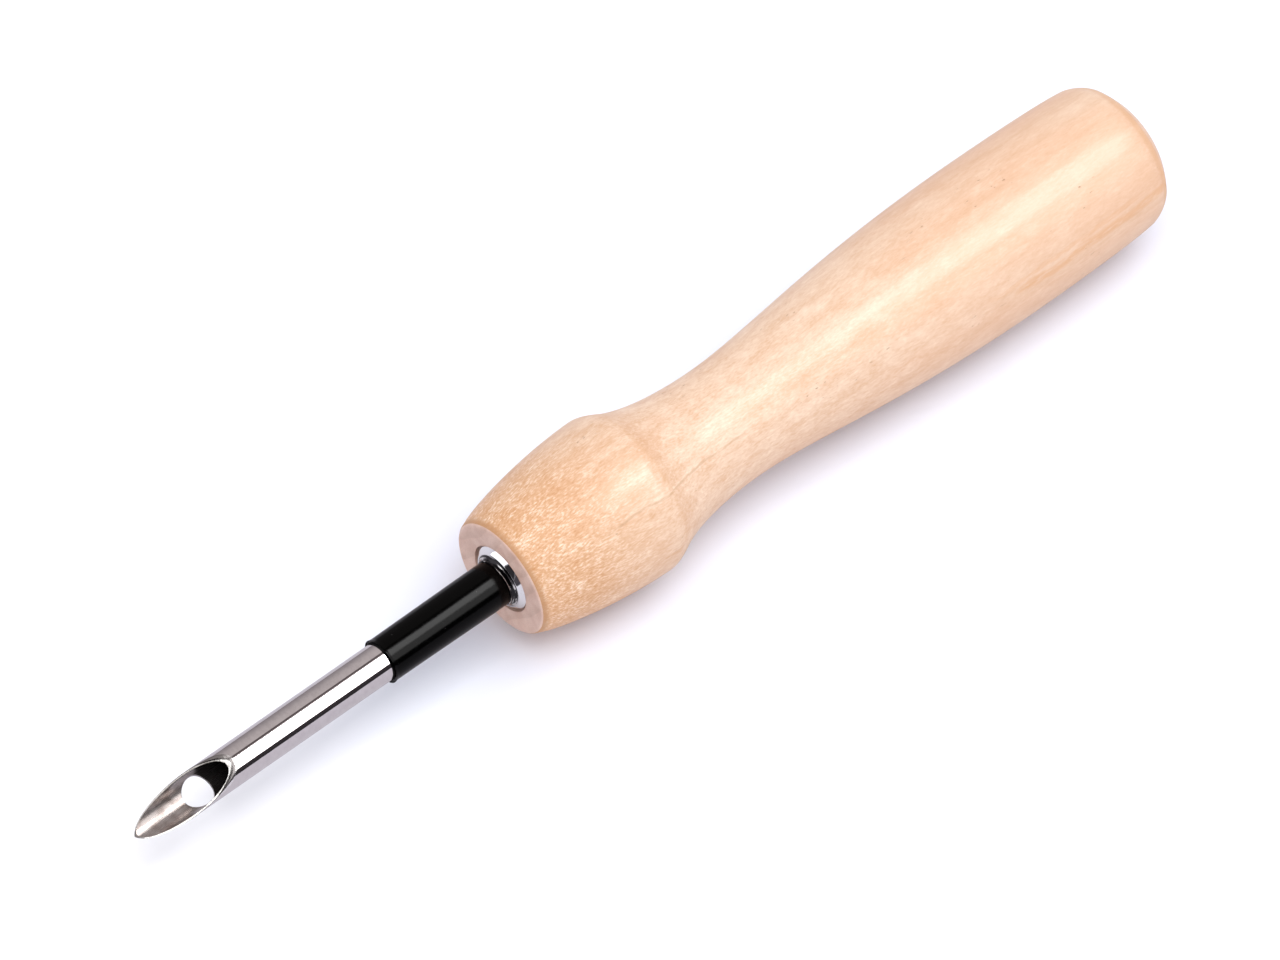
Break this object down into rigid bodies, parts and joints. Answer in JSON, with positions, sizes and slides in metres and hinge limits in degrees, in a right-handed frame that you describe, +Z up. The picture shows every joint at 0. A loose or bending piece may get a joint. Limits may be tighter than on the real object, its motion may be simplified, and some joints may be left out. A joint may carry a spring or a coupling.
{
  "type": "punch needle",
  "caption": "Punch needle for looped yarn: hollow steel needle with a curved bevel and eye, black sliding depth sleeve, chromed ferrule and a turned wooden handle bored for yarn.",
  "frame": {"origin": "on the surface the tool lies on, under the middle of its whole length", "axes": "+X along the tool's axis from the bevelled point to the butt, +Z up, the bevel facing up and a little towards -Y"},
  "size_m": [0.1516, 0.0206, 0.0206],
  "materials": {
    "wood": "fine sanded pale birch with a thin clear satin seal",
    "ferrule_chrome": "bright chrome",
    "needle_nickel": "polished nickel-plated steel with fine drawing lines",
    "sleeve_plastic": "black plastic tube, satin gloss",
    "liner_steel": "plain drawn steel",
    "eyelet_chrome": "bright chrome"
  },
  "bodies": {
    "tool": {"handle": "wood", "front_ferrule": "ferrule_chrome", "hollow_needle": "needle_nickel", "yarn_liner": "liner_steel", "rear_eyelet": "eyelet_chrome"},
    "sleeve": {"depth_sleeve": "sleeve_plastic"}
  },
  "joints": [
    {"name": "sleeve_slide", "type": "slide", "parent": "tool", "child": "sleeve", "axis": [-1, 0, 0], "range_m": [0, 0.06]}
  ]
}
